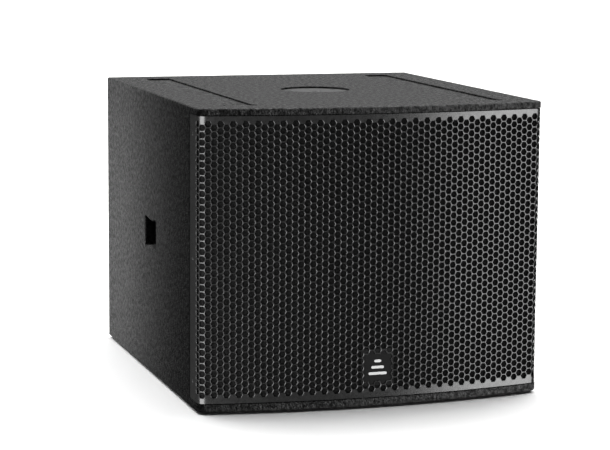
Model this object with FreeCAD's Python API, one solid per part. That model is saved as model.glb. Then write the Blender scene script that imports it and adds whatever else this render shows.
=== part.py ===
"""Compact bass-reflex PA subwoofer cabinet with a bowed steel grille and one 18-inch driver.

Frame: +Z up, the grille faces -Y, +X is to the right seen from the front. The origin is at the
middle of the footprint, on the floor under the stacking skids. Lengths are in millimetres.
"""

import FreeCAD, Part
import os
from math import asin, cos, pi, sin, sqrt

V = FreeCAD.Vector
X_AXIS = V(1, 0, 0)
Y_AXIS = V(0, 1, 0)
Z_AXIS = V(0, 0, 1)
TOUCH = 0.3  # glue line left open between the moving cone and its suspension

# ---- driving dimensions: the cabinet -----------------------------------------------------
WIDTH = 604.0
BODY_HEIGHT = 500.0
DEPTH = 700.0
BOW = 30.4  # how far the middle of the front stands ahead of its corners
PLY = 18.0  # plywood of every panel
SKID_HEIGHT = 4.0
EDGE_ROUND = 3.0
CORNER_ROUND = 16.0

# ---- driving dimensions: front grille ----------------------------------------------------
SHEET = 1.5
TOP_NOSE = 10.7  # visible height of the top panel's front edge
BOTTOM_NOSE = 13.1
GRILLE_GAP = 1.6  # dark gap between the grille's edges and the noses
GRILLE_INSET = 0.8
FOLD_RADIUS = 16.0
RETURN_DEPTH = 85.0  # from the foremost point back to the end of the folded side strip
RETURN_REBATE = 2.5
FOAM_THICKNESS = 8.0
FOAM_GAP = 2.0  # room between the sheet and the foam for the badge plate
GRILLE_SCREW_Y = 68.0  # behind the foremost point
GRILLE_SCREW_SPACING = 205.0
BADGE_WIDTH = 58.0
BADGE_HEIGHT = 62.0
BADGE_Z = 65.1  # above the underside of the body
BADGE_GAP = 0.4
BADGE_LAP = 4.0  # how far the plate reaches behind the sheet all round its window
EMBLEM_HALF_LENGTHS = (6.0, 11.0, 16.0)
EMBLEM_BAR = 4.5
EMBLEM_STEP = 10.5

# ---- driving dimensions: stacking channels, skids and pole flange ------------------------
CHANNEL_X = 218.0
CHANNEL_WIDTH = 46.0
CHANNEL_FRONT = -280.0
CHANNEL_REAR = 294.0
CHANNEL_DEPTH = 3.0
CHANNEL_END_ROUND = 8.0
CHANNEL_LOCK_WIDTH = 58.0
CHANNEL_LOCK_LENGTH = 14.0
SKID_WIDTH = 38.0
SKID_LENGTH = 540.0
FLANGE_RADIUS = 61.0
FLANGE_RECESS = 6.2
FLANGE_PLATE = 3.0
POLE_THREAD_RADIUS = 10.0  # M20
POLE_MOUTH = 1.5  # the bore's mouth is cut back at 45 degrees
POLE_BOSS_RADIUS = 17.0
POLE_BOSS_LENGTH = 52.0
FLANGE_SCREW_RADIUS = 47.0
FLANGE_SCREW_HEAD = 1.8  # the heads lie flush in the plate

# ---- driving dimensions: hand holes ------------------------------------------------------
HAND_Y = 8.0
HAND_LENGTH = 80.0
HAND_HEIGHT = 57.0
HAND_PINCH = 6.0  # how far the long edges bulge inward at their middle
HAND_EDGE_ROUND = 4.0
CUP_LENGTH = 104.0
CUP_HEIGHT = 86.0
CUP_DEPTH = 72.0
CUP_WALL = 3.0
CUP_FLANGE = 12.0

# ---- driving dimensions: baffle, ports and bracing ---------------------------------------
BAFFLE_SETBACK = 70.0  # from the foremost point to the baffle's front face
CUTOUT_RADIUS = 212.0
PORT_WIDTH = 34.0
PORT_HEIGHT = 400.0
DIVIDER = 12.0
PORT_LENGTH = 220.0
BRACE_Y = 80.0
BRACE_BAR = 60.0  # upright bar between the windows
BRACE_RAIL = 40.0  # level bar between the windows
WINDOW_WIDTH = 220.0
WINDOW_HEIGHT = 176.0
WINDOW_ROUND = 20.0
BATTEN = 18.0
DAMPING = 25.0

# ---- driving dimensions: driver ----------------------------------------------------------
FRAME_RADIUS = 230.0
FRAME_FLANGE = 6.0
DRIVER_BOLT_CIRCLE = 223.5
DRIVER_BOLT_COUNT = 8
COIL_RADIUS = 50.0
CONE_RADIUS = 193.0
ROLL_HEIGHT = 8.0
CONE_WALL = 1.5
SPOKE_COUNT = 8
SPOKE_GAP = 66.0  # width of the openings between spokes

# ---- driving dimensions: rear connector dish ---------------------------------------------
DISH_Z = 150.0
DISH_SINK = 2.0  # the flange and its screws lie this far below the back
DISH_WIDTH = 180.0
DISH_HEIGHT = 140.0
PAN_WIDTH = 150.0
PAN_HEIGHT = 110.0
PAN_DEPTH = 32.0
PLATE = 2.0
SOCKET_X = 36.0
SOCKET_FLANGE_WIDTH = 26.0
SOCKET_FLANGE_HEIGHT = 31.0
SOCKET_RADIUS = 11.8
SOCKET_BORE = 10.0
SOCKET_POST = 4.0

# ---- driving dimensions: internal lead ---------------------------------------------------
LEAD_RADIUS = 3.5
CLIP_LOW = 314.0
CLIP_HIGH = 341.0
ARC_SHARE = 0.45
LEAD_ROUTE = (
    (38.0, 292.5, 196.0),
    (38.0, 262.0, 200.0),
    (38.0, 224.0, 226.0),
    (38.0, 180.0, 268.0),
    (38.0, 132.0, 304.0),
    (38.0, 84.0, 330.0),
    (37.0, 34.0, 350.0),
    (32.0, -16.0, 364.0),
    (24.0, -66.0, 371.0),
    (16.0, -112.0, 369.0),
    (13.0, -151.0, 366.0),
)

# ---- worked out --------------------------------------------------------------------------
HALF = WIDTH / 2
FRONT = -DEPTH / 2
BACK = DEPTH / 2
BOTTOM = SKID_HEIGHT
TOP = BOTTOM + BODY_HEIGHT
MIDDLE = BOTTOM + BODY_HEIGHT / 2
FLOOR_TOP = BOTTOM + PLY
ROOF_UNDER = TOP - PLY
INNER = HALF - PLY
BOW_RADIUS = (HALF * HALF + BOW * BOW) / (2 * BOW)
BOW_CENTRE = FRONT + BOW_RADIUS
BAFFLE_FRONT = FRONT + BAFFLE_SETBACK
BAFFLE_BACK = BAFFLE_FRONT + PLY
RETURN_END = FRONT + RETURN_DEPTH
SIDE_FRONT = FRONT + BOW + FOLD_RADIUS + 4.0
DISH_FACE = BACK - DISH_SINK
DISH_FLOOR = DISH_FACE - PAN_DEPTH
GRILLE_LOW = BOTTOM + BOTTOM_NOSE + GRILLE_GAP
GRILLE_HIGH = TOP - TOP_NOSE - GRILLE_GAP
FLANGE_TOP = TOP - FLANGE_RECESS + FLANGE_PLATE
FRAME_FRONT = BAFFLE_FRONT - FRAME_FLANGE


def block(x0, x1, y0, y1, z0, z1):
    """A box between two opposite corners."""
    return Part.makeBox(x1 - x0, y1 - y0, z1 - z0, V(x0, y0, z0))


def rod(radius, start, axis, length):
    """A round bar from its start point along an axis."""
    return Part.makeCylinder(radius, length, start, axis)


def tube(outer, inner, start, axis, length):
    """A round bar with a round hole along it."""
    return rod(outer, start, axis, length).cut(rod(inner, start, axis, length))


def together(shapes):
    """Separate solids held in one node."""
    return Part.makeCompound(list(shapes))


def minus(shape, tools):
    """The shape with every tool cut away."""
    return shape.cut(together(tools))


def polygon(points):
    """A closed flat face through its corners."""
    return Part.Face(Part.makePolygon(list(points) + [points[0]]))


def turned(profile):
    """A solid of revolution about the driver's axis, from (radius, y) corners."""
    face = polygon([V(radius, y, MIDDLE) for radius, y in profile])
    return face.revolve(V(0, 0, MIDDLE), Y_AXIS, 360)


def round_plate(width, length, corner, z0, height, centre=V(0, 0, 0)):
    """A flat plate with rounded corners, standing along Z, centred on a point in plan."""
    plate = Part.makeBox(width, length, height, V(centre.x - width / 2, centre.y - length / 2, z0))
    uprights = [e for e in plate.Edges if abs(e.tangentAt(e.FirstParameter).z) > 0.9]
    return plate.makeFillet(corner, uprights)


def facing_y(shape, y):
    """Stand a plate built in plan upright, its own +Z turned towards +Y, at the given y."""
    upright = shape.copy()
    upright.rotate(V(0, 0, 0), X_AXIS, -90)
    upright.translate(V(0, y, 0))
    return upright


def on_circle(radius, count, first_angle):
    """Points around a circle, as (x, z) pairs."""
    angles = [first_angle + 2 * pi * i / count for i in range(count)]
    return [(radius * cos(a), radius * sin(a)) for a in angles]


def mirrored(shape):
    """The same shape on the other side of the cabinet."""
    return shape.mirror(V(0, 0, 0), X_AXIS)


def screw(head_radius, head_height, shank_radius, shank_length, seat, outward):
    """A socket-head screw: its head stands on the seat point and its shank goes in behind it."""
    head = rod(head_radius, seat, outward, head_height)
    socket = rod(head_radius * 0.5, seat + outward * (head_height * 0.4), outward, head_height)
    shank = rod(shank_radius, seat - outward * shank_length, outward, shank_length)
    return head.cut(socket).fuse(shank)


# ---- plan outlines -----------------------------------------------------------------------
def bow_point(inset, x):
    """A point on the front bow, moved back along the bow's radius by the inset."""
    radius = BOW_RADIUS - inset
    return V(x, BOW_CENTRE - sqrt(radius * radius - x * x), 0)


def bowed_face(inset, half_width, back, z):
    """A plan outline with the bowed front, straight sides and a straight back."""
    left, right = bow_point(inset, -half_width), bow_point(inset, half_width)
    bow = Part.Arc(left, bow_point(inset, 0), right).toShape()
    corners = (right, V(half_width, back, 0), V(-half_width, back, 0), left)
    sides = [Part.makeLine(a, b) for a, b in zip(corners, corners[1:])]
    face = Part.Face(Part.Wire([bow] + sides))
    face.translate(V(0, 0, z))
    return face


def folded_solid(inset, back, z0, z1):
    """A solid filling the bowed front and its folded corners, back to a straight line."""
    solid = bowed_face(inset, HALF - inset, back, z0).extrude(V(0, 0, z1 - z0))
    radius = FOLD_RADIUS - inset
    uprights = [e for e in solid.Edges if len(e.Vertexes) == 2 and is_front_upright(e, inset)]
    return solid.makeFillet(radius, uprights)


def is_front_upright(edge, inset):
    """True for the two vertical edges where the bow meets the sides."""
    upright = abs(edge.tangentAt(edge.FirstParameter).z) > 0.9
    return upright and edge.CenterOfMass.y < FRONT + BOW + inset + 1.0 and abs(edge.CenterOfMass.x) > 1.0


def panel_blank(z0, height):
    """A top or bottom panel before its features: bowed front, rounded plan corners."""
    blank = bowed_face(0.0, HALF, BACK, z0).extrude(V(0, 0, height))
    front = [e for e in blank.Edges if is_front_upright(e, 0.0)]
    rear = [e for e in blank.Edges if abs(e.tangentAt(e.FirstParameter).z) > 0.9 and e.CenterOfMass.y > 0]
    return blank.makeFillet(CORNER_ROUND, front).makeFillet(EDGE_ROUND, rear)


def rounded_rim(panel, z):
    """The panel with the whole outline of its outer face rounded."""
    rim = [e for e in panel.Edges if abs(e.BoundBox.ZMin - z) < 0.01 and abs(e.BoundBox.ZMax - z) < 0.01]
    return panel.makeFillet(EDGE_ROUND, rim)


def grille_seat(z0, z1):
    """The rebate that the grille's edge and side strips lie in."""
    outside = bowed_face(-5.0, HALF + 5.0, RETURN_END + 1.0, z0).extrude(V(0, 0, z1 - z0))
    kept = bowed_face(14.0, HALF - RETURN_REBATE, BACK, z0).extrude(V(0, 0, z1 - z0))
    return outside.cut(kept)


# ---- plywood -----------------------------------------------------------------------------
def channel(side, depth):
    """A stacking channel: round at the rear and widened at the front into a lock."""
    z0 = TOP - depth
    height = depth + 1.0
    length = CHANNEL_REAR - CHANNEL_FRONT
    middle = V(side * CHANNEL_X, (CHANNEL_REAR + CHANNEL_FRONT) / 2, 0)
    lock_middle = V(side * CHANNEL_X, CHANNEL_FRONT + CHANNEL_LOCK_LENGTH / 2, 0)
    lock_round = CHANNEL_LOCK_LENGTH / 2 - 0.5
    rear = round_plate(CHANNEL_WIDTH, length, CHANNEL_END_ROUND, z0, height, middle)
    lock = round_plate(CHANNEL_LOCK_WIDTH, CHANNEL_LOCK_LENGTH, lock_round, z0, height, lock_middle)
    return rear.fuse(lock)


def top_panel():
    """Top panel with the grille rebate, two stacking channels and the pole flange recess."""
    panel = rounded_rim(panel_blank(ROOF_UNDER, PLY), TOP)
    recess = rod(FLANGE_RADIUS + 0.5, V(0, 0, TOP - FLANGE_RECESS), Z_AXIS, FLANGE_RECESS + 1.0)
    boss_hole = rod(POLE_BOSS_RADIUS + 1.0, V(0, 0, ROOF_UNDER - 1.0), Z_AXIS, PLY)
    channels = [channel(side, CHANNEL_DEPTH) for side in (-1, 1)]
    seat = grille_seat(ROOF_UNDER - 1.0, TOP - TOP_NOSE)
    return minus(panel, [seat, recess, boss_hole] + channels + flange_screw_holes())


def bottom_panel():
    """Bottom panel with the grille rebate."""
    panel = rounded_rim(panel_blank(BOTTOM, PLY), BOTTOM)
    return panel.cut(grille_seat(BOTTOM + BOTTOM_NOSE, FLOOR_TOP + 1.0))


def hand_outline(x, grow):
    """The hand hole's outline: upright ends, long edges that bulge inward, rounded corners."""
    length, height = HAND_LENGTH / 2 + grow, HAND_HEIGHT / 2 + grow
    pinched = height - HAND_PINCH
    signs = ((-1, 1), (1, 1), (1, -1), (-1, -1))
    corners = [V(x, HAND_Y + sy * length, MIDDLE + sz * height) for sy, sz in signs]
    upper, lower = V(x, HAND_Y, MIDDLE + pinched), V(x, HAND_Y, MIDDLE - pinched)
    edges = [
        Part.Arc(corners[0], upper, corners[1]).toShape(),
        Part.makeLine(corners[1], corners[2]),
        Part.Arc(corners[2], lower, corners[3]).toShape(),
        Part.makeLine(corners[3], corners[0]),
    ]
    return Part.Face(Part.Wire(edges))


def hand_hole():
    """The solid taken out of the right side panel, flared towards the outside."""
    straight = hand_outline(INNER - 1.0, 0.0).extrude(V(PLY + 2.0, 0, 0))
    along = [e for e in straight.Edges if abs(e.tangentAt(e.FirstParameter).x) > 0.9]
    return straight.makeFillet(HAND_EDGE_ROUND, along)


def round_hand_rim(panel):
    """The side panel with the hand hole's outer edge rounded over."""
    rim = [
        e
        for e in panel.Edges
        if abs(e.BoundBox.XMin - HALF) < 0.01
        and abs(e.BoundBox.XMax - HALF) < 0.01
        and abs(e.CenterOfMass.y - HAND_Y) < HAND_LENGTH / 2 + 2.0
        and abs(e.CenterOfMass.z - MIDDLE) < HAND_HEIGHT / 2 + 2.0
    ]
    return panel.makeFillet(HAND_EDGE_ROUND, rim)


def side_panel():
    """Right side panel: hand hole, grille rebate at the front and a rounded rear edge."""
    panel = block(INNER, HALF, SIDE_FRONT, BACK, FLOOR_TOP, ROOF_UNDER)
    rear = [e for e in panel.Edges if e.CenterOfMass.distanceToPoint(V(HALF, BACK, MIDDLE)) < 0.01]
    panel = panel.makeFillet(EDGE_ROUND, rear)
    seat = block(HALF - RETURN_REBATE, HALF + 1.0, SIDE_FRONT - 1.0, RETURN_END + 1.0, 0, TOP)
    holes = [rod(1.6, V(INNER + 2.0, y, z), X_AXIS, PLY) for y, z in grille_screw_places()]
    cup_pilots = [rod(1.4, V(INNER - 1.0, y, z), X_AXIS, 11.0) for y, z in cup_screw_places()]
    return round_hand_rim(minus(panel, [seat, hand_hole()])).cut(together(holes + cup_pilots))


def back_panel():
    """Back panel, flush with the sides, with a stepped opening for the connector dish."""
    panel = block(-INNER, INNER, BACK - PLY, BACK, FLOOR_TOP, ROOF_UNDER)
    opening = upright_plate(PAN_WIDTH + 6.0, PAN_HEIGHT + 6.0, 10.0, BACK - PLY - 1.0, PLY + 2.0)
    step = upright_plate(DISH_WIDTH + 1.0, DISH_HEIGHT + 1.0, 8.5, DISH_FACE - PLATE, 9.0)
    pilots = [rod(1.4, V(x, DISH_FACE - 14.0, z), Y_AXIS, 14.0) for x, z in dish_screw_places()]
    return minus(panel, [opening, step] + pilots)


def baffle():
    """Baffle with the driver cut-out, its bolt holes and a slot port at each side."""
    panel = block(-INNER, INNER, BAFFLE_FRONT, BAFFLE_BACK, FLOOR_TOP, ROOF_UNDER)
    start = V(0, BAFFLE_FRONT - 1.0, MIDDLE)
    tools = [rod(CUTOUT_RADIUS, start, Y_AXIS, PLY + 2.0)]
    tools += [rod(4.3, start + V(x, 0, z), Y_AXIS, PLY + 2.0) for x, z in driver_bolt_places()]
    low, high = MIDDLE - PORT_HEIGHT / 2, MIDDLE + PORT_HEIGHT / 2
    for side in (-1, 1):
        near, far = sorted((side * (INNER - PORT_WIDTH), side * (INNER + 1.0)))
        tools.append(block(near, far, BAFFLE_FRONT - 1.0, BAFFLE_BACK + 1.0, low, high))
    return minus(panel, tools)


def port_divider():
    """Upright panel that makes the right-hand slot port together with the side panel."""
    outer = INNER - PORT_WIDTH
    inner_end = BAFFLE_FRONT + PORT_LENGTH
    divider = block(outer - DIVIDER, outer, BAFFLE_BACK, inner_end, FLOOR_TOP, ROOF_UNDER)
    end = [e for e in divider.Edges if abs(e.CenterOfMass.y - inner_end) < 0.01 and e.Length > 400]
    return divider.makeFillet(4.0, end)


def baffle_battens():
    """Two glued battens that back the baffle above and below the driver."""
    half = INNER - PORT_WIDTH - DIVIDER
    low = block(-half, half, BAFFLE_BACK, BAFFLE_BACK + BATTEN, FLOOR_TOP, FLOOR_TOP + BATTEN)
    high = block(-half, half, BAFFLE_BACK, BAFFLE_BACK + BATTEN, ROOF_UNDER - BATTEN, ROOF_UNDER)
    start = V(0, BAFFLE_BACK - 1.0, MIDDLE)
    tools = [rod(CUTOUT_RADIUS + 8.0, start, Y_AXIS, BATTEN + 2.0)]
    tools += [rod(10.0, start + V(x, 0, z), Y_AXIS, BATTEN + 2.0) for x, z in driver_bolt_places()]
    return together([minus(low, tools), minus(high, tools)])


def window_brace():
    """Brace across the box behind the driver, with four windows and a rounded-corner grid."""
    brace = block(-INNER, INNER, BRACE_Y, BRACE_Y + PLY, FLOOR_TOP, ROOF_UNDER)
    windows = []
    for side in (-1, 1):
        for level in (-1, 1):
            blank = round_plate(WINDOW_WIDTH, WINDOW_HEIGHT, WINDOW_ROUND, 0, PLY + 2.0)
            window = facing_y(blank, BRACE_Y - 1.0)
            x = side * (BRACE_BAR + WINDOW_WIDTH) / 2
            z = MIDDLE + level * (BRACE_RAIL + WINDOW_HEIGHT) / 2
            window.translate(V(x, 0, z))
            windows.append(window)
    return minus(brace, windows)


def skid():
    """Right-hand stacking skid under the cabinet, sized to drop into a channel below."""
    runner = round_plate(SKID_WIDTH, SKID_LENGTH, 14.0, 0, SKID_HEIGHT, V(CHANNEL_X, 0, 0))
    lower = [e for e in runner.Edges if abs(e.BoundBox.ZMax) < 0.01]
    runner = runner.makeFillet(1.2, lower)
    holes = [rod(2.2, V(x, y, -1.0), Z_AXIS, SKID_HEIGHT + 2.0) for x, y in skid_screw_places()]
    sinks = [rod(4.6, V(x, y, -1.0), Z_AXIS, 3.6) for x, y in skid_screw_places()]
    return minus(runner, holes + sinks)


# ---- grille ------------------------------------------------------------------------------
def front_grille():
    """Formed steel sheet: bowed front, folded corners and plain side strips."""
    outside = folded_solid(GRILLE_INSET, RETURN_END, GRILLE_LOW, GRILLE_HIGH)
    inside = folded_solid(GRILLE_INSET + SHEET, RETURN_END + 5.0, GRILLE_LOW - 1.0, GRILLE_HIGH + 1.0)
    sheet = outside.cut(inside)
    reach = HALF + 1.0
    tools = [rod(2.1, V(-reach, y, z), X_AXIS, 2 * reach) for y, z in grille_screw_places()]
    window_z = BOTTOM + BADGE_Z
    half_w, half_h = BADGE_WIDTH / 2 - BADGE_LAP, BADGE_HEIGHT / 2 - BADGE_LAP
    tools.append(block(-half_w, half_w, FRONT - 1.0, FRONT + 9.0, window_z - half_h, window_z + half_h))
    return minus(sheet, tools)


def grille_foam():
    """Open-cell foam sheet glued behind the grille, turned back at both ends."""
    inset = GRILLE_INSET + SHEET + FOAM_GAP
    low, high = FLOOR_TOP + 1.0, ROOF_UNDER - 1.0
    outer = folded_solid(inset, SIDE_FRONT - 1.0, low, high)
    inner = folded_solid(inset + FOAM_THICKNESS, SIDE_FRONT + 1.0, low - 1.0, high + 1.0)
    return outer.cut(inner)


def grille_screw_places():
    """Places of the three screws in each side strip, as (y, z)."""
    y = FRONT + GRILLE_SCREW_Y
    return [(y, MIDDLE + step * GRILLE_SCREW_SPACING) for step in (-1, 0, 1)]


def grille_screws():
    """Low-head screws that hold the side strips to the side panels."""
    screws = []
    for y, z in grille_screw_places():
        for side in (-1, 1):
            seat = V(side * (HALF - GRILLE_INSET), y, z)
            screws.append(screw(3.4, 0.7, 1.6, 14.0, seat, V(side, 0, 0)))
    return together(screws)


def badge_plate():
    """Square badge plate set in the grille."""
    front = FRONT + GRILLE_INSET + SHEET + BADGE_GAP
    plate = facing_y(round_plate(BADGE_WIDTH, BADGE_HEIGHT, 3.0, 0, 1.5), front)
    plate.translate(V(0, 0, BOTTOM + BADGE_Z))
    return plate


def badge_emblem():
    """Plain generic mark on the badge: three stacked bars of growing length."""
    face = FRONT + GRILLE_INSET + SHEET + BADGE_GAP
    bars = []
    for row, half_length in enumerate(EMBLEM_HALF_LENGTHS):
        z = BOTTOM + BADGE_Z + EMBLEM_STEP * (1 - row)
        bar = facing_y(round_plate(2 * half_length, EMBLEM_BAR, EMBLEM_BAR / 2 - 0.1, 0, 0.7), face - 0.7)
        bar.translate(V(0, 0, z))
        bars.append(bar)
    return together(bars)


# ---- pole flange -------------------------------------------------------------------------
def flange_screw_places():
    """Places of the flange screws, as (x, y)."""
    return on_circle(FLANGE_SCREW_RADIUS, 6, pi / 6)


def flange_screw_holes():
    """Pilot holes under the flange screws."""
    return [rod(1.7, V(x, y, ROOF_UNDER + 1.0), Z_AXIS, PLY) for x, y in flange_screw_places()]


def pole_flange():
    """Steel flange with a threaded boss for a speaker pole."""
    base = TOP - FLANGE_RECESS
    plate = rod(FLANGE_RADIUS, V(0, 0, base), Z_AXIS, FLANGE_PLATE)
    rim = [e for e in plate.Edges if abs(e.BoundBox.ZMin - FLANGE_TOP) < 0.01]
    plate = plate.makeFillet(0.8, rim)
    boss = rod(POLE_BOSS_RADIUS, V(0, 0, base - POLE_BOSS_LENGTH), Z_AXIS, POLE_BOSS_LENGTH + 0.5)
    bore_start = V(0, 0, base - POLE_BOSS_LENGTH - 1.0)
    bore = rod(POLE_THREAD_RADIUS, bore_start, Z_AXIS, POLE_BOSS_LENGTH + 10.0)
    mouth_start = V(0, 0, FLANGE_TOP - POLE_MOUTH)
    mouth_radius = POLE_THREAD_RADIUS + POLE_MOUTH
    mouth = Part.makeCone(POLE_THREAD_RADIUS, mouth_radius, POLE_MOUTH, mouth_start, Z_AXIS)
    seat_z = FLANGE_TOP - FLANGE_SCREW_HEAD
    holes = [rod(2.0, V(x, y, base - 1.0), Z_AXIS, FLANGE_PLATE + 2.0) for x, y in flange_screw_places()]
    sinks = [rod(4.4, V(x, y, seat_z), Z_AXIS, FLANGE_PLATE) for x, y in flange_screw_places()]
    return minus(plate.fuse(boss), [bore, mouth] + holes + sinks)


def flange_screws():
    """Six screws that hold the pole flange, their heads flush with it."""
    seat_z = FLANGE_TOP - FLANGE_SCREW_HEAD
    seats = [V(x, y, seat_z) for x, y in flange_screw_places()]
    return together(screw(4.2, FLANGE_SCREW_HEAD, 1.7, 11.0, seat, Z_AXIS) for seat in seats)


# ---- hand hole cups ----------------------------------------------------------------------
def cup_screw_places():
    """Corners of the cup's flange, as (y, z)."""
    half_y, half_z = CUP_LENGTH / 2 + CUP_FLANGE / 2, CUP_HEIGHT / 2 + CUP_FLANGE / 2
    return [(HAND_Y + sy * half_y, MIDDLE + sz * half_z) for sy in (-1, 1) for sz in (-1, 1)]


def cup_body(grow, x0, x1):
    """A rounded block behind the hand hole, grown by a wall."""
    length, height = CUP_LENGTH / 2 + grow, CUP_HEIGHT / 2 + grow
    body = block(x0, x1, HAND_Y - length, HAND_Y + length, MIDDLE - height, MIDDLE + height)
    along = [e for e in body.Edges if abs(e.tangentAt(e.FirstParameter).x) > 0.9]
    return body.makeFillet(12.0 + grow, along)


def handle_cup():
    """Closed moulded cup behind the right hand hole, screwed on from inside the box."""
    shell = cup_body(CUP_WALL, INNER - CUP_DEPTH, INNER)
    flange = cup_body(CUP_FLANGE, INNER - CUP_WALL, INNER)
    hollow = cup_body(0.0, INNER - CUP_DEPTH + CUP_WALL, INNER + 1.0)
    starts = [V(INNER - CUP_WALL - 1.0, y, z) for y, z in cup_screw_places()]
    holes = [rod(1.9, start, X_AXIS, CUP_WALL + 2.0) for start in starts]
    return minus(shell.fuse(flange), [hollow] + holes)


def handle_cup_screws():
    """Four screws in each cup's flange."""
    screws = []
    for side in (-1, 1):
        for y, z in cup_screw_places():
            seat = V(side * (INNER - CUP_WALL), y, z)
            screws.append(screw(3.2, 2.0, 1.4, 12.0, seat, V(-side, 0, 0)))
    return together(screws)


# ---- skids' screws -----------------------------------------------------------------------
def skid_screw_places():
    """Places of the right skid's screws, as (x, y)."""
    return [(CHANNEL_X, step * SKID_LENGTH * 0.22) for step in (-2, -1, 0, 1, 2)]


def skid_screws():
    """Screws that hold both skids, sunk below their running faces."""
    screws = []
    for x, y in skid_screw_places():
        for side in (-1, 1):
            screws.append(screw(4.2, 1.4, 2.0, 1.4, V(side * x, y, 2.6), V(0, 0, -1)))
    return together(screws)


# ---- rear connector dish -----------------------------------------------------------------
def dish_screw_places():
    """Corner and middle screws of the dish's flange, as (x, z)."""
    x, z = DISH_WIDTH / 2 - 7.5, DISH_HEIGHT / 2 - 7.5
    return [(sx * x, DISH_Z + sz * z) for sx in (-1, 0, 1) for sz in (-1, 1)]


def socket_screw_places(side):
    """Two diagonal screws of a socket's flange, as (x, z)."""
    x, z = SOCKET_FLANGE_WIDTH / 2 - 3.5, SOCKET_FLANGE_HEIGHT / 2 - 3.5
    return [(side * SOCKET_X + s * x, DISH_Z - s * z) for s in (-1, 1)]


def upright_plate(width, height, corner, y0, thickness):
    """A rounded plate facing the rear, centred on the connector dish."""
    plate = facing_y(round_plate(width, height, corner, 0, thickness), y0)
    plate.translate(V(0, 0, DISH_Z))
    return plate


def connector_dish():
    """Pressed steel dish that holds the sockets below the back's surface."""
    flange = upright_plate(DISH_WIDTH, DISH_HEIGHT, 8.0, DISH_FACE - PLATE, PLATE)
    pan = upright_plate(PAN_WIDTH, PAN_HEIGHT, 8.0, DISH_FLOOR - PLATE, PAN_DEPTH)
    inner_width, inner_height = PAN_WIDTH - 2 * PLATE, PAN_HEIGHT - 2 * PLATE
    hollow = upright_plate(inner_width, inner_height, 6.0, DISH_FLOOR, PAN_DEPTH + 1.0)
    tools = [hollow]
    tools += [rod(1.9, V(x, DISH_FACE - 5.0, z), Y_AXIS, 6.0) for x, z in dish_screw_places()]
    for side in (-1, 1):
        tools.append(rod(SOCKET_RADIUS + 0.2, V(side * SOCKET_X, DISH_FLOOR - 4.0, DISH_Z), Y_AXIS, 8.0))
        tools += [rod(1.3, V(x, DISH_FLOOR - 4.0, z), Y_AXIS, 8.0) for x, z in socket_screw_places(side)]
    return minus(flange.fuse(pan), tools)


def dish_screws():
    """Six screws in the dish's flange."""
    seats = [V(x, DISH_FACE, z) for x, z in dish_screw_places()]
    return together(screw(3.4, 1.6, 1.4, 13.0, seat, Y_AXIS) for seat in seats)


def speaker_socket(side):
    """Four-pole twist-lock chassis socket."""
    floor_y = DISH_FLOOR
    flange = facing_y(round_plate(SOCKET_FLANGE_WIDTH, SOCKET_FLANGE_HEIGHT, 3.0, 0, 2.5), floor_y)
    flange.translate(V(side * SOCKET_X, 0, DISH_Z))
    centre = V(side * SOCKET_X, 0, DISH_Z)
    barrel = rod(SOCKET_RADIUS, centre + V(0, floor_y - 20.0, 0), Y_AXIS, 21.0)
    collar = rod(SOCKET_RADIUS + 0.8, centre + V(0, floor_y, 0), Y_AXIS, 4.0)
    bore = rod(SOCKET_BORE, centre + V(0, floor_y - 17.5, 0), Y_AXIS, 30.0)
    post = tube(SOCKET_POST, 2.0, centre + V(0, floor_y - 18.0, 0), Y_AXIS, 19.0)
    key = block(-1.2, 1.2, floor_y - 10.0, floor_y + 4.5, SOCKET_BORE - 0.2, SOCKET_BORE + 1.9)
    key.translate(centre)
    holes = [rod(1.3, V(x, floor_y - 1.0, z), Y_AXIS, 5.0) for x, z in socket_screw_places(side)]
    return minus(flange.fuse(barrel).fuse(collar), [bore, key] + holes).fuse(post)


def socket_screws():
    """Two screws in each socket's flange."""
    seat_y = DISH_FLOOR + 2.5
    return together(
        screw(2.6, 1.4, 1.2, 7.0, V(x, seat_y, z), Y_AXIS)
        for side in (-1, 1)
        for x, z in socket_screw_places(side)
    )


def link_board():
    """Circuit board behind the dish that joins the sockets to the driver's lead."""
    y = DISH_FLOOR - 20.5
    board = block(-60.0, 60.0, y - 2.0, y, DISH_Z - 28.0, DISH_Z + 54.0)
    posts = [
        rod(2.5, V(sx * 54.0, y, DISH_Z + z), Y_AXIS, DISH_FLOOR - PLATE - y)
        for sx in (-1, 1)
        for z in (-22.0, 48.0)
    ]
    solid = board
    for post in posts:
        solid = solid.fuse(post)
    return solid


# ---- driver ------------------------------------------------------------------------------
GAP_FRONT = BAFFLE_FRONT + 126.0  # front face of the top plate
TOP_PLATE = 12.0
MAGNET = 24.0
BACK_PLATE = 12.0
LEDGE_Y = GAP_FRONT - 24.0
NECK_Y = GAP_FRONT - 58.0
POLE_RADIUS = COIL_RADIUS - 1.0
FORMER_WALL = 0.4
WINDING = 1.2
WINDING_LENGTH = 20.0


def driver_bolt_places():
    """Places of the driver's bolts, as (x, z) from the driver's axis."""
    return on_circle(DRIVER_BOLT_CIRCLE, DRIVER_BOLT_COUNT, pi / DRIVER_BOLT_COUNT)


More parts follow.
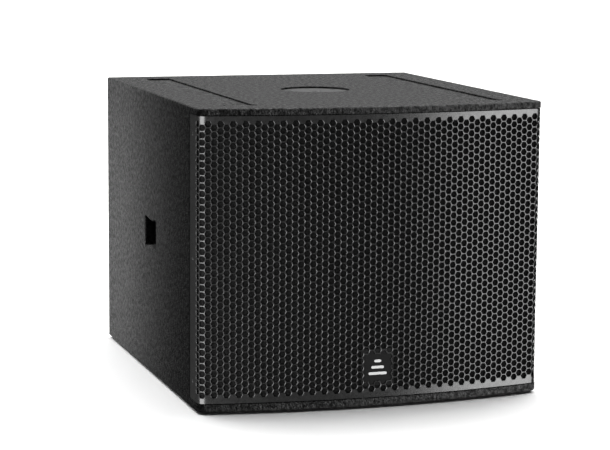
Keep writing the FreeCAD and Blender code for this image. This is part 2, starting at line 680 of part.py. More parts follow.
def driver_basket():
    """Cast basket: front flange, eight spokes, spider ledge and magnet seat."""
    flange_back = BAFFLE_FRONT
    shell = turned(
        (
            (FRAME_RADIUS, FRAME_FRONT),
            (FRAME_RADIUS, flange_back),
            (CUTOUT_RADIUS - 2.0, flange_back),
            (CUTOUT_RADIUS - 2.0, flange_back + 24.0),
            (108.0, LEDGE_Y + 2.0),
            (108.0, GAP_FRONT),
            (62.0, GAP_FRONT),
            (62.0, GAP_FRONT - 6.0),
            (100.0, GAP_FRONT - 6.0),
            (100.0, LEDGE_Y),
            (103.0, LEDGE_Y - 2.0),
            (CUTOUT_RADIUS - 7.0, flange_back + 21.0),
            (CUTOUT_RADIUS - 4.0, flange_back + 18.0),
            (CUTOUT_RADIUS - 4.0, FRAME_FRONT),
        )
    )
    windows = []
    for i in range(SPOKE_COUNT):
        low, high = MIDDLE - SPOKE_GAP / 2, MIDDLE + SPOKE_GAP / 2
        window = block(112.0, CUTOUT_RADIUS + 8.0, flange_back + 27.0, LEDGE_Y + 6.0, low, high)
        along = [e for e in window.Edges if abs(e.tangentAt(e.FirstParameter).x) > 0.9]
        window = window.makeFillet(14.0, along)
        window.rotate(V(0, 0, MIDDLE), Y_AXIS, (i + 0.5) * 360.0 / SPOKE_COUNT)
        windows.append(window)
    start = V(0, FRAME_FRONT - 1.0, MIDDLE)
    holes = [rod(3.3, start + V(x, 0, z), Y_AXIS, FRAME_FLANGE + 2.0) for x, z in driver_bolt_places()]
    return minus(shell, windows + holes)


def driver_gasket():
    """Foam ring on the front of the driver's flange."""
    inner = CUTOUT_RADIUS + 2.5
    return tube(inner + 4.0, inner, V(0, FRAME_FRONT - 3.0, MIDDLE), Y_AXIS, 3.0)


def surround():
    """Half-roll surround from the cone's edge to the basket."""
    inner, outer = CONE_RADIUS + 1.0, CUTOUT_RADIUS - 3.5
    middle, half = (inner + outer) / 2, (outer - inner) / 2
    wall = 0.9
    lip_y = FRAME_FRONT
    steps = 16
    front = []
    rear = []
    for i in range(steps + 1):
        across, rise = -cos(pi * i / steps), sin(pi * i / steps)
        front.append((middle + half * across, lip_y - wall - ROLL_HEIGHT * rise))
        rear.append((middle + (half - wall) * across, lip_y - wall * 0.2 - (ROLL_HEIGHT - wall) * rise))
    outline = [(inner - 5.0, lip_y - wall)] + front + [(outer + 5.0, lip_y - wall), (outer + 5.0, lip_y)]
    outline += [(rear[-1][0], lip_y)] + rear[::-1] + [(rear[0][0], lip_y), (inner - 5.0, lip_y)]
    return turned(outline)


def cone():
    """Paper cone from the coil former to the surround, with a flat edge under the surround."""
    edge_y = FRAME_FRONT + TOUCH
    neck = COIL_RADIUS + FORMER_WALL
    return turned(
        (
            (neck, NECK_Y + 10.0),
            (neck + CONE_WALL, NECK_Y + 10.0),
            (neck + CONE_WALL, NECK_Y + 1.6),
            (CONE_RADIUS - 6.0, edge_y + CONE_WALL),
            (CONE_RADIUS, edge_y + CONE_WALL),
            (CONE_RADIUS, edge_y),
            (CONE_RADIUS - 6.3, edge_y),
            (neck + 0.6, NECK_Y),
            (neck, NECK_Y),
        )
    )


def cone_face_y(radius):
    """The y of the cone's front face at a radius."""
    neck = COIL_RADIUS + FORMER_WALL + 0.6
    outer = CONE_RADIUS - 6.3
    share = (radius - neck) / (outer - neck)
    return NECK_Y + share * (FRAME_FRONT + TOUCH - NECK_Y)


def dust_cap():
    """Domed cap over the coil, standing on the cone."""
    radius, rise, wall = 66.0, 22.0, 1.0
    base = cone_face_y(radius)
    sphere = (radius * radius + rise * rise) / (2 * rise)
    steps = 14
    reach = asin(radius / sphere)
    outer = []
    inner = []
    for i in range(steps + 1):
        angle = reach * i / steps
        height = sphere * cos(angle) - (sphere - rise)
        outer.append((sphere * sin(angle), base - height))
        inner.append(((sphere - wall) * sin(angle), base - height + wall * cos(angle)))
    foot = [(radius, cone_face_y(radius) - 0.01), (inner[-1][0], cone_face_y(inner[-1][0]) - 0.01)]
    return turned(outer[:-1] + foot + inner[-2::-1])


def coil_former():
    """Thin tube that carries the winding."""
    end = GAP_FRONT + TOP_PLATE / 2 + WINDING_LENGTH / 2
    return tube(COIL_RADIUS + FORMER_WALL, COIL_RADIUS, V(0, NECK_Y, MIDDLE), Y_AXIS, end - NECK_Y)


def voice_coil():
    """Winding centred in the magnetic gap."""
    start = GAP_FRONT + TOP_PLATE / 2 - WINDING_LENGTH / 2
    inner = COIL_RADIUS + FORMER_WALL
    return tube(inner + WINDING, inner, V(0, start, MIDDLE), Y_AXIS, WINDING_LENGTH)


def spider():
    """Corrugated spider from the former to the basket's ledge, with the leads woven in."""
    inner = COIL_RADIUS + FORMER_WALL + TOUCH
    outer = 99.0
    wall = 0.8
    waves = 5
    steps = 60
    front = []
    for i in range(steps + 1):
        share = i / steps
        radius = inner + 4.0 + (outer - 6.0 - inner - 4.0) * share
        front.append((radius, LEDGE_Y - wall - 1.5 * sin(2 * pi * waves * share)))
    rear = [(radius, y + wall) for radius, y in reversed(front)]
    outline = [(inner, LEDGE_Y - wall)] + front + [(outer, LEDGE_Y - wall), (outer, LEDGE_Y)]
    outline += rear + [(inner, LEDGE_Y)]
    return turned(outline)


def top_plate():
    """Steel plate in front of the magnet; its hole is the outer wall of the gap."""
    gap_wall = COIL_RADIUS + FORMER_WALL + WINDING + 0.9
    return tube(102.0, gap_wall, V(0, GAP_FRONT, MIDDLE), Y_AXIS, TOP_PLATE)


def magnet_ring():
    """Ferrite ring magnet."""
    ring = tube(110.0, 62.0, V(0, GAP_FRONT + TOP_PLATE, MIDDLE), Y_AXIS, MAGNET)
    rims = [e for e in ring.Edges if len(e.Vertexes) == 1 and abs(e.Curve.Radius - 110.0) < 0.1]
    return ring.makeFillet(2.0, rims)


def back_plate():
    """Steel back plate with the vented pole piece."""
    y = GAP_FRONT + TOP_PLATE + MAGNET
    plate = rod(104.0, V(0, y, MIDDLE), Y_AXIS, BACK_PLATE)
    pole = rod(POLE_RADIUS, V(0, GAP_FRONT, MIDDLE), Y_AXIS, TOP_PLATE + MAGNET)
    vent = rod(16.0, V(0, GAP_FRONT - 1.0, MIDDLE), Y_AXIS, TOP_PLATE + MAGNET + BACK_PLATE + 2.0)
    return plate.fuse(pole).cut(vent)


def driver_terminals():
    """Terminal block on the basket's rear wall, with two push posts."""
    foot = block(-24.0, 24.0, LEDGE_Y + 4.0, GAP_FRONT - 2.0, MIDDLE + 96.0, MIDDLE + 121.0)
    foot = foot.cut(rod(108.0, V(0, LEDGE_Y, MIDDLE), Y_AXIS, 40.0))
    posts = [rod(4.0, V(s * 13.0, GAP_FRONT - 2.0, MIDDLE + 112.0), Y_AXIS, 4.0) for s in (-1, 1)]
    return foot.fuse(posts[0]).fuse(posts[1])


def driver_bolts():
    """Eight bolts through the driver's flange and the baffle."""
    seats = [V(x, FRAME_FRONT, MIDDLE + z) for x, z in driver_bolt_places()]
    return together(screw(5.0, 4.0, 3.0, 20.0, seat, V(0, -1, 0)) for seat in seats)


def t_nuts():
    """Flanged nuts pressed into the baffle from behind."""
    nuts = []
    for x, z in driver_bolt_places():
        sleeve = rod(4.2, V(x, BAFFLE_BACK - 9.0, MIDDLE + z), Y_AXIS, 9.0)
        disc = rod(9.0, V(x, BAFFLE_BACK, MIDDLE + z), Y_AXIS, 1.5)
        bore = rod(3.0, V(x, BAFFLE_BACK - 10.0, MIDDLE + z), Y_AXIS, 12.0)
        nuts.append(sleeve.fuse(disc).cut(bore))
    return together(nuts)


# ---- damping and lead --------------------------------------------------------------------
def back_damping():
    """Acoustic foam on the inside of the back, cut out around the dish."""
    half, back = INNER - 30.0, BACK - PLY
    sheet = block(-half, half, back - DAMPING, back, FLOOR_TOP + 24.0, ROOF_UNDER - 20.0)
    gap = block(-110.0, 110.0, BACK - PLY - DAMPING - 1.0, BACK, DISH_Z - 90.0, DISH_Z + 90.0)
    return sheet.cut(gap)


def side_damping():
    """Acoustic foam on the inside of the right side, behind the brace."""
    start, end = BRACE_Y + PLY + 20.0, BACK - PLY - 36.0
    return block(INNER - DAMPING, INNER, start, end, FLOOR_TOP + 24.0, ROOF_UNDER - 20.0)


def lead_path():
    """Straight runs joined by tangent arcs along the lead's route, and the arcs' radii."""
    points = [V(*p) for p in LEAD_ROUTE]
    edges = []
    radii = []
    start = points[0]
    for before, corner, after in zip(points, points[1:], points[2:]):
        into = (corner - before).normalize()
        out = (after - corner).normalize()
        trim = ARC_SHARE * min(before.distanceToPoint(corner), corner.distanceToPoint(after))
        half_turn = into.getAngle(out) / 2
        radius = trim * cos(half_turn) / sin(half_turn)
        first, last = corner - into * trim, corner + out * trim
        bisector = (out - into).normalize()
        crown = corner + bisector * (radius / cos(half_turn) - radius)
        edges.append(Part.LineSegment(start, first).toShape())
        edges.append(Part.Arc(first, crown, last).toShape())
        radii.append(radius)
        start = last
    edges.append(Part.LineSegment(start, points[-1]).toShape())
    return Part.Wire(edges), radii


def along_lead(radius):
    """A round bar that follows the lead's route."""
    path = lead_path()[0]
    first = path.Edges[0]
    start, direction = first.valueAt(first.FirstParameter), first.tangentAt(first.FirstParameter)
    section = Part.Wire(Part.makeCircle(radius, start, direction))
    return path.makePipeShell([section], True, False)


def speaker_lead():
    """Two-core lead from the link board to the driver's terminals."""
    path, radii = lead_path()
    solid = along_lead(LEAD_RADIUS)
    print("lead: length", round(path.Length, 1), "radii", [round(r) for r in radii])
    print("lead: volume ratio", round(solid.Volume / (pi * LEAD_RADIUS**2 * path.Length), 4))
    return solid


def lead_clip():
    """Saddle clip that holds the lead against the brace's upright bar."""
    bar_face = BRACE_BAR / 2
    clip = block(bar_face, bar_face + 15.0, BRACE_Y + 3.0, BRACE_Y + 13.0, CLIP_LOW, CLIP_HIGH)
    return clip.cut(along_lead(LEAD_RADIUS + 0.2))


NODES = {
    "top_panel": top_panel,
    "bottom_panel": bottom_panel,
    "left_side_panel": lambda: mirrored(side_panel()),
    "right_side_panel": side_panel,
    "back_panel": back_panel,
    "baffle": baffle,
    "left_port_divider": lambda: mirrored(port_divider()),
    "right_port_divider": port_divider,
    "baffle_battens": baffle_battens,
    "window_brace": window_brace,
    "left_skid": lambda: mirrored(skid()),
    "right_skid": skid,
    "skid_screws": skid_screws,
    "front_grille": front_grille,
    "grille_foam": grille_foam,
    "grille_screws": grille_screws,
    "badge_plate": badge_plate,
    "badge_emblem": badge_emblem,
    "pole_flange": pole_flange,
    "flange_screws": flange_screws,
    "left_handle_cup": lambda: mirrored(handle_cup()),
    "right_handle_cup": handle_cup,
    "handle_cup_screws": handle_cup_screws,
    "connector_dish": connector_dish,
    "dish_screws": dish_screws,
    "left_speaker_socket": lambda: speaker_socket(-1),
    "right_speaker_socket": lambda: speaker_socket(1),
    "socket_screws": socket_screws,
    "link_board": link_board,
    "driver_basket": driver_basket,
    "driver_gasket": driver_gasket,
    "surround": surround,
    "cone": cone,
    "dust_cap": dust_cap,
    "coil_former": coil_former,
    "voice_coil": voice_coil,
    "spider": spider,
    "top_plate": top_plate,
    "magnet_ring": magnet_ring,
    "back_plate": back_plate,
    "driver_terminals": driver_terminals,
    "driver_bolts": driver_bolts,
    "t_nuts": t_nuts,
    "back_damping": back_damping,
    "left_side_damping": lambda: mirrored(side_damping()),
    "right_side_damping": side_damping,
    "speaker_lead": speaker_lead,
    "lead_clip": lead_clip,
}


def main():
    """Build every node and write it to its own STEP file."""
    os.makedirs("parts", exist_ok=True)
    for name, build in NODES.items():
        shape = build()
        assert shape.isValid() and shape.Solids, name
        shape.exportStep("parts/" + name + ".step")
        print(name, len(shape.Solids), round(shape.Volume / 1000, 1), "cm3")


main()
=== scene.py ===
"""The looks of a PA subwoofer cabinet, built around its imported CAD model.

Lengths are in metres in the CAD model's frame: +Z up, the grille faces -Y, the origin on the floor
at the middle of the footprint. Every size comes from the frame or from the named values below.
"""

from math import asin, cos, pi, radians, sin, sqrt

import bmesh
import bpy
from mathutils import Matrix, Vector
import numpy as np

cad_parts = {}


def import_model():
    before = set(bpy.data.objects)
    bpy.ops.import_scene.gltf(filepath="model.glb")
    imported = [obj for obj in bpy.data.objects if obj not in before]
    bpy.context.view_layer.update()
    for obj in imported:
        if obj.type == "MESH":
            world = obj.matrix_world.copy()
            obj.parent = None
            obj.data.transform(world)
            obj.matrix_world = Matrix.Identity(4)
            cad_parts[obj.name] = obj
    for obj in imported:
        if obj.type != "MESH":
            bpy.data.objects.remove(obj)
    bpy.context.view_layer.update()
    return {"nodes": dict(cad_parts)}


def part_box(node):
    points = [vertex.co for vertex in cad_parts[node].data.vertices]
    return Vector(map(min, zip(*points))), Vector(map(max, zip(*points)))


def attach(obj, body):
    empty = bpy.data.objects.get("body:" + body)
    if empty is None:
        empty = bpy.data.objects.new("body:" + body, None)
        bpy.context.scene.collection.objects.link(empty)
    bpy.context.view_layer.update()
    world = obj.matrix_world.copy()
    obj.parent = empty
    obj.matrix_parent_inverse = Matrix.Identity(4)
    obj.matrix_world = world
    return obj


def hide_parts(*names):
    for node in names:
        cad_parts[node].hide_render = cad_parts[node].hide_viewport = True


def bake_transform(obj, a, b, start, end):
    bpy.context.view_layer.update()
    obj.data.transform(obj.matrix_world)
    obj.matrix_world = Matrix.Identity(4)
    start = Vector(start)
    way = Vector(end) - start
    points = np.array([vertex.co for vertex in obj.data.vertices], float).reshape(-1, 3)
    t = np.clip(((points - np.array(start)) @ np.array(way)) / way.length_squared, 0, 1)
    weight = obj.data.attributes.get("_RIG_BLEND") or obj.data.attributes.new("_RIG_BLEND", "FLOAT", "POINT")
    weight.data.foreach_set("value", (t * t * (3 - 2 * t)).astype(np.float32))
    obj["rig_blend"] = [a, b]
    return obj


MM = 0.001
HOME = "cabinet"  # the body that all but the moving cone rides on
MOVING = "cone_assembly"

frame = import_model()
NODES = frame["nodes"]

# ---- the camera ----------------------------------------------------------------------------
LENS = 123.385
CAMERA_PLACE = Vector((-1.1627, -3.5542, 0.8147))
CAMERA_YAW = radians(17.8678)
CAMERA_PITCH = radians(-8.4674)
CAMERA_ROLL = radians(0.4345)

# ---- the perforated sheet ------------------------------------------------------------------
BOW = 30.4 * MM  # how far the middle of the front stands ahead of its corners
SHEET = 1.5 * MM
PITCH = 11.90 * MM  # from one hexagonal hole to the next above it
COLUMN_STEP = 10.265 * MM
OPEN_SHARE = 0.85  # a hole's width over the pitch
CORNER_CUT = 0.7 * MM
RIM_ROUND = 0.5 * MM
LAST_COLUMN = 30
HOLES_PER_COLUMN = 38
TOP_HOLE = 479.0 * MM  # centre of the middle column's highest hole
FOLD_CUTS = 12
FOLD_OUTSIDE = 16 * MM
WINDOW_COLUMNS = 2  # the badge window reaches this far each side of the middle column
WINDOW_FIRST_ROW = 33  # in the even columns; the odd ones lose one more hole at the top
WINDOW_LAST_ROW = 36

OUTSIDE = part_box("front_grille")
HALF_SHEET = OUTSIDE[1].x
BODY_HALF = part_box("top_panel")[1].x
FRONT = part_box("top_panel")[0].y
SHEET_INSET = OUTSIDE[0].y - FRONT
BOW_RADIUS = (BODY_HALF**2 + BOW**2) / (2 * BOW)
BOW_CENTRE = FRONT + BOW_RADIUS
SHEET_RADIUS = BOW_RADIUS - SHEET_INSET
FOLD_RADIUS = FOLD_OUTSIDE - SHEET_INSET
FOLD_X = HALF_SHEET - FOLD_RADIUS
FOLD_START = asin(FOLD_X / (SHEET_RADIUS - FOLD_RADIUS))
FOLD_Y = BOW_CENTRE - sqrt((SHEET_RADIUS - FOLD_RADIUS) ** 2 - FOLD_X**2)
BOW_LENGTH = SHEET_RADIUS * FOLD_START
FOLD_LENGTH = FOLD_RADIUS * (pi / 2 - FOLD_START)
SHEET_LENGTH = BOW_LENGTH + FOLD_LENGTH + OUTSIDE[1].y - FOLD_Y
HEX_RADIUS = PITCH / sqrt(3)
HEX_REACH = COLUMN_STEP / 1.5  # half a cell's width, corner to corner
HEX_TURNS = [i * pi / 3 for i in range(6)]

# ---- the driver ----------------------------------------------------------------------------
DRIVER_Z = (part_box("cone")[0].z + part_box("cone")[1].z) / 2  # height of its axis
SURROUND_WIDTH = 24.5 * MM
SURROUND_LIP = 5 * MM
SURROUND_WALL = 0.9 * MM
SPIDER_WIDTH = 48.3 * MM
SPIDER_WALL = 0.8 * MM
SPIDER_WAVES = 5

# ---- the pole thread -----------------------------------------------------------------------
THREAD_RADIUS = 9.99 * MM
THREAD_DEPTH = 0.9 * MM
THREAD_PITCH = 2.5 * MM

# ---- the studio ----------------------------------------------------------------------------
WORLD_DIM = 0.05
WORLD_LIT = 6.2
OVERHEAD_REACH = {"X": (-0.8, -0.1, 0.35), "Y": (-0.3, 0.15, 0.0), "Z": (0.4, 0.8, 0.0)}  # start, full, least
RIGHT_RADIANCE = 11.8
LEFT_RADIANCE = 12.0
REAR_RADIANCE = 4.5
FLOOR_HALF = 40
BACKDROP_RADIUS = 38
BACKDROP_HEIGHT = 60


# ---- helpers -------------------------------------------------------------------------------
def piece(mesh_source, name, material, body=HOME, sharp=30):
    """Turns a bmesh into a named piece, smooth but for its sharp edges, that rides on a body if given."""
    bmesh.ops.recalc_face_normals(mesh_source, faces=mesh_source.faces)
    mesh = bpy.data.meshes.new(name)
    mesh_source.to_mesh(mesh)
    mesh_source.free()
    mesh.shade_smooth()
    mesh.set_sharp_from_angle(angle=radians(sharp))
    mesh.materials.append(material)
    made = bpy.data.objects.new(name, mesh)
    bpy.context.scene.collection.objects.link(made)
    if body:
        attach(made, body)
    return made


def facing(direction):
    """A rotation that turns +Z to a direction."""
    return Vector((0, 0, 1)).rotation_difference(Vector(direction)).to_matrix().to_4x4()


def join_loops(bm, loops):
    """Faces between each closed loop of vertices and the next."""
    for low, high in zip(loops, loops[1:]):
        for i in range(len(low)):
            j = (i + 1) % len(low)
            bm.faces.new((low[i], low[j], high[j], high[i]))


def add_turned(bm, rings, segments, place, closed=True):
    """Adds a turned form: rings are (radius, height, lobe depth), from one end to the other."""
    loops = []
    for radius, height, depth in rings:
        loop = []
        for i in range(segments):
            angle = 2 * pi * i / segments
            reach = radius * (1 + depth * cos(6 * angle))
            loop.append(bm.verts.new(place @ Vector((reach * cos(angle), reach * sin(angle), height))))
        loops.append(loop)
    join_loops(bm, loops)
    if closed:
        bm.faces.new(loops[0])
        bm.faces.new(loops[-1])


def solids_of(node):
    """The bounds of each separate solid in a CAD node."""
    source = NODES[node]
    bm = bmesh.new()
    bm.from_mesh(source.data)
    bm.transform(source.matrix_world)
    bmesh.ops.remove_doubles(bm, verts=bm.verts, dist=0.001 * MM)
    left = set(bm.verts)
    found = []
    while left:
        group = [left.pop()]
        for vert in group:
            for edge in vert.link_edges:
                other = edge.other_vert(vert)
                if other in left:
                    left.remove(other)
                    group.append(other)
        lows = [min(v.co[axis] for v in group) for axis in range(3)]
        highs = [max(v.co[axis] for v in group) for axis in range(3)]
        found.append((Vector(lows), Vector(highs)))
    bm.free()
    return found


# ---- material helpers ----------------------------------------------------------------------
class Look:
    """A node material being put together around one Principled shader."""

    def __init__(self, name, **values):
        self.material = bpy.data.materials.new(name)
        self.material.use_nodes = True
        self.tree = self.material.node_tree
        self.shader = self.tree.nodes["Principled BSDF"]
        for socket, value in values.items():
            self.shader.inputs[socket.replace("_", " ").title().replace("Ior", "IOR")].default_value = value
        self.place = self.node("ShaderNodeTexCoord").outputs["Object"]

    def node(self, kind, settings=(), **inputs):
        """Adds a node; an input given a socket is linked, and anything else is its value."""
        made = self.tree.nodes.new(kind)
        for name, value in dict(settings).items():
            setattr(made, name, value)
        for name, value in inputs.items():
            socket = made.inputs[name.replace("_", " ")]
            if isinstance(value, bpy.types.NodeSocket):
                self.tree.links.new(value, socket)
            else:
                socket.default_value = value
        return made

    def noise(self, size, detail=2.0, rough=0.5, place=None):
        """Noise whose features are about this size."""
        made = self.node("ShaderNodeTexNoise", Vector=place or self.place, Scale=1 / size, Detail=detail)
        made.inputs["Roughness"].default_value = rough
        return made.outputs["Fac"]

    def cells(self, size, place=None):
        """Distance to the nearest point of a random scatter with this spacing."""
        made = self.node("ShaderNodeTexVoronoi", Vector=place or self.place, Scale=1 / size)
        return made.outputs["Distance"]

    def stretched(self, x, y, z):
        """Object coordinates stretched along the axes."""
        return self.node("ShaderNodeMapping", Vector=self.place, Scale=(x, y, z)).outputs["Vector"]

    def math(self, operation, a, b=0.0):
        """The result of a sum on two sockets or values."""
        made = self.node("ShaderNodeMath", {"operation": operation})
        for socket, value in zip(made.inputs, (a, b)):
            if isinstance(value, bpy.types.NodeSocket):
                self.tree.links.new(value, socket)
            else:
                socket.default_value = value
        return made.outputs[0]

    def spread(self, fac, low, high, start=0.3, end=0.7):
        """The factor's middle range stretched to run from low to high."""
        made = self.node("ShaderNodeMapRange", Value=fac)
        for name, value in (("From Min", start), ("From Max", end), ("To Min", low), ("To Max", high)):
            made.inputs[name].default_value = value
        return made.outputs["Result"]

    def greys(self, fac, low, high, tint=(1, 1, 1), start=0.3, end=0.7):
        """A colour that runs from a dark to a light shade of one tint."""
        made = self.node("ShaderNodeValToRGB", Fac=fac)
        made.color_ramp.elements[0].position = start
        made.color_ramp.elements[1].position = end
        for element, level in zip(made.color_ramp.elements, (low, high)):
            element.color = (level * tint[0], level * tint[1], level * tint[2], 1)
        return made.outputs["Color"]

    def bump(self, height, depth, under=None, strength=1.0):
        """A bump of this depth in metres, over another bump."""
        made = self.node("ShaderNodeBump", Height=height, Strength=strength, Distance=depth)
        if under:
            self.tree.links.new(under, made.inputs["Normal"])
        return made.outputs["Normal"]

    def finish(self, **links):
        """Links the shader's inputs and returns the material."""
        for name, socket in links.items():
            self.tree.links.new(socket, self.shader.inputs[name.replace("_", " ")])
        return self.material


# ---- materials -----------------------------------------------------------------------------
def textured_coating():
    """Black sprayed polyurea: a tight pebble grain with fine pits, and a colour mottling that runs lighter on
    the raised grain as painted glints of the pebbles.
    """
    look = Look("textured_coating", specular_ior_level=0.12)
    pebbles = look.cells(3.4 * MM)
    grain = look.noise(7.0 * MM, 4.0, 0.75)
    height = look.math("ADD", look.math("MULTIPLY", pebbles, -0.8), grain)
    return look.finish(
        # painted highlight: the base colour runs lighter where the grain stands up, standing in for the
        # pebbles' glints, over a slight real mottling
        Base_Color=look.greys(grain, 0.005, 0.046, start=0.39, end=0.61),
        Roughness=look.spread(grain, 0.82, 0.32, start=0.40, end=0.60),
        Normal=look.bump(height, 2.0 * MM),
    )


def powder_coat(name, level, gloss, grain=1.0 * MM, depth=0.03 * MM, shine=0.5):
    """Black powder-coated steel with faint orange peel."""
    look = Look(name, specular_ior_level=shine)
    peel = look.noise(grain, 2.0)
    return look.finish(
        Base_Color=look.greys(look.noise(15 * MM, 3.0), level * 0.8, level * 1.2),
        Roughness=look.spread(look.noise(6 * MM, 3.0), gloss - 0.03, gloss + 0.04),
        Normal=look.bump(peel, depth, strength=0.6),
    )


def open_foam(name, level, pore):
    """Reticulated foam: lighter strands, with painted shade darkening the recessed pores between them."""
    look = Look(name, specular_ior_level=0.05, roughness=1.0)
    pores = look.cells(pore)
    return look.finish(
        # painted shade: the colour darkens where the bump sinks between the cells
        Base_Color=look.greys(pores, level * 1.6, level * 0.3, start=0.1, end=0.6),
        Normal=look.bump(look.math("MULTIPLY", pores, -1.0), pore * 0.5),
    )


def moulded_plastic(name, level, gloss=0.42, tint=(1, 1, 1), shine=0.45):
    """Injection-moulded plastic with a fine spark-eroded grain."""
    look = Look(name, specular_ior_level=shine)
    grain = look.noise(0.5 * MM, 2.0)
    return look.finish(
        Base_Color=look.greys(look.noise(12 * MM, 2.0), level * 0.85, level * 1.15, tint),
        Roughness=look.spread(grain, gloss - 0.06, gloss + 0.08),
        Normal=look.bump(grain, 0.05 * MM, strength=0.5),
    )


def bare_metal(name, level, rough, tint=(1, 1, 1), scratch=(1, 1, 1)):
    """Bare or plated metal with fine scratches and cloudy wear."""
    look = Look(name, metallic=1.0)
    scratches = look.noise(1.2 * MM, 4.0, 0.7, look.stretched(*scratch))
    clouds = look.noise(9 * MM, 3.0)
    return look.finish(
        Base_Color=look.greys(clouds, level * 0.82, level, tint),
        Roughness=look.spread(scratches, rough - 0.08, rough + 0.12),
        Normal=look.bump(scratches, 0.02 * MM, strength=0.5),
    )


def plywood(name, axis, painted=False):
    """Birch plywood whose veneers lie across an axis; its faces can be painted black."""
    look = Look(name, specular_ior_level=0.35)
    normal = look.node("ShaderNodeNewGeometry").outputs["Normal"]
    parts = look.node("ShaderNodeSeparateXYZ", Vector=normal).outputs
    across = look.node("ShaderNodeSeparateXYZ", Vector=look.place).outputs[axis]
    face = look.math("GREATER_THAN", look.math("ABSOLUTE", parts[axis]), 0.7)
    veneers = look.math("SINE", look.math("MULTIPLY", across, 2 * pi / (2.8 * MM)))
    grain = look.noise(6 * MM, 5.0, 0.65, look.stretched(9.0, 9.0, 1.4))
    edge = look.greys(veneers, 0.10, 0.42, (1.0, 0.72, 0.45), 0.0, 1.0)
    flat = look.greys(grain, 0.40, 0.62, (1.0, 0.76, 0.50))
    if painted:
        flat = look.greys(grain, 0.012, 0.022)
    mixed = look.node("ShaderNodeMix", {"data_type": "RGBA"})
    look.tree.links.new(face, mixed.inputs[0])
    look.tree.links.new(edge, mixed.inputs[6])
    look.tree.links.new(flat, mixed.inputs[7])
    return look.finish(
        Base_Color=mixed.outputs[2],
        Roughness=look.spread(grain, 0.55, 0.75),
        Normal=look.bump(grain, 0.12 * MM),
    )


def cone_paper():
    """Black pressed paper pulp with long fibres."""
    look = Look("cone_paper", specular_ior_level=0.3, sheen_weight=0.15)
    fibres = look.noise(1.4 * MM, 5.0, 0.7, look.stretched(1.0, 3.0, 1.0))
    return look.finish(
        Base_Color=look.greys(fibres, 0.010, 0.035),
        Roughness=look.spread(fibres, 0.65, 0.85),
        Normal=look.bump(fibres, 0.15 * MM),
    )


def woven_cloth(name, level, thread, tint=(1, 1, 1), rough=0.7):
    """A plain weave: threads crossing over and under, painted lighter where they cross over and with painted
    shade in the hollows.
    """
    look = Look(name, specular_ior_level=0.3, sheen_weight=0.2)
    parts = look.node("ShaderNodeSeparateXYZ", Vector=look.place).outputs
    warp = look.math("SINE", look.math("MULTIPLY", parts[0], 2 * pi / thread))
    weft = look.math("SINE", look.math("MULTIPLY", parts[2], 2 * pi / thread))
    weave = look.math("MULTIPLY", warp, weft)
    return look.finish(
        # painted shade and highlight: the colour follows the weave's height, dark in the hollows and light on
        # the crossings
        Base_Color=look.greys(weave, level * 0.6, level * 1.3, tint, -0.8, 0.8),
        Roughness=look.spread(look.noise(4 * MM), rough - 0.05, rough + 0.1),
        Normal=look.bump(weave, thread * 0.15),
    )


def wound_copper():
    """Enamelled copper wire wound in close turns along Y, with painted shade in the grooves between turns and
    painted highlight on their crowns.
    """
    look = Look("copper", metallic=1.0)
    along = look.node("ShaderNodeSeparateXYZ", Vector=look.place).outputs["Y"]
    turns = look.math("SINE", look.math("MULTIPLY", along, 2 * pi / (0.5 * MM)))
    return look.finish(
        # painted shade and highlight: the colour darkens in the grooves and brightens on the crowns of the
        # turns
        Base_Color=look.greys(turns, 0.35, 0.85, (1.0, 0.50, 0.28), -0.6, 0.6),
        Roughness=look.spread(look.noise(2 * MM), 0.25, 0.4),
        Normal=look.bump(turns, 0.1 * MM),
    )


def badge_mark():
    """Satin silver print on the badge."""
    look = Look("badge_mark", metallic=0.4, specular_ior_level=0.5)
    fine = look.noise(0.6 * MM, 2.0)
    return look.finish(
        Base_Color=look.greys(fine, 0.34, 0.42),
        Roughness=look.spread(fine, 0.3, 0.4),
        Normal=look.bump(fine, 0.02 * MM),
    )


def circuit_board():
    """Green solder mask over faint copper tracks."""
    look = Look("board", specular_ior_level=0.5)
    tracks = look.cells(7 * MM)
    return look.finish(
        Base_Color=look.greys(tracks, 0.05, 0.12, (0.25, 1.0, 0.35), 0.35, 0.45),
        Roughness=look.spread(look.noise(3 * MM), 0.25, 0.35),
        Normal=look.bump(tracks, 0.05 * MM, strength=0.4),
    )


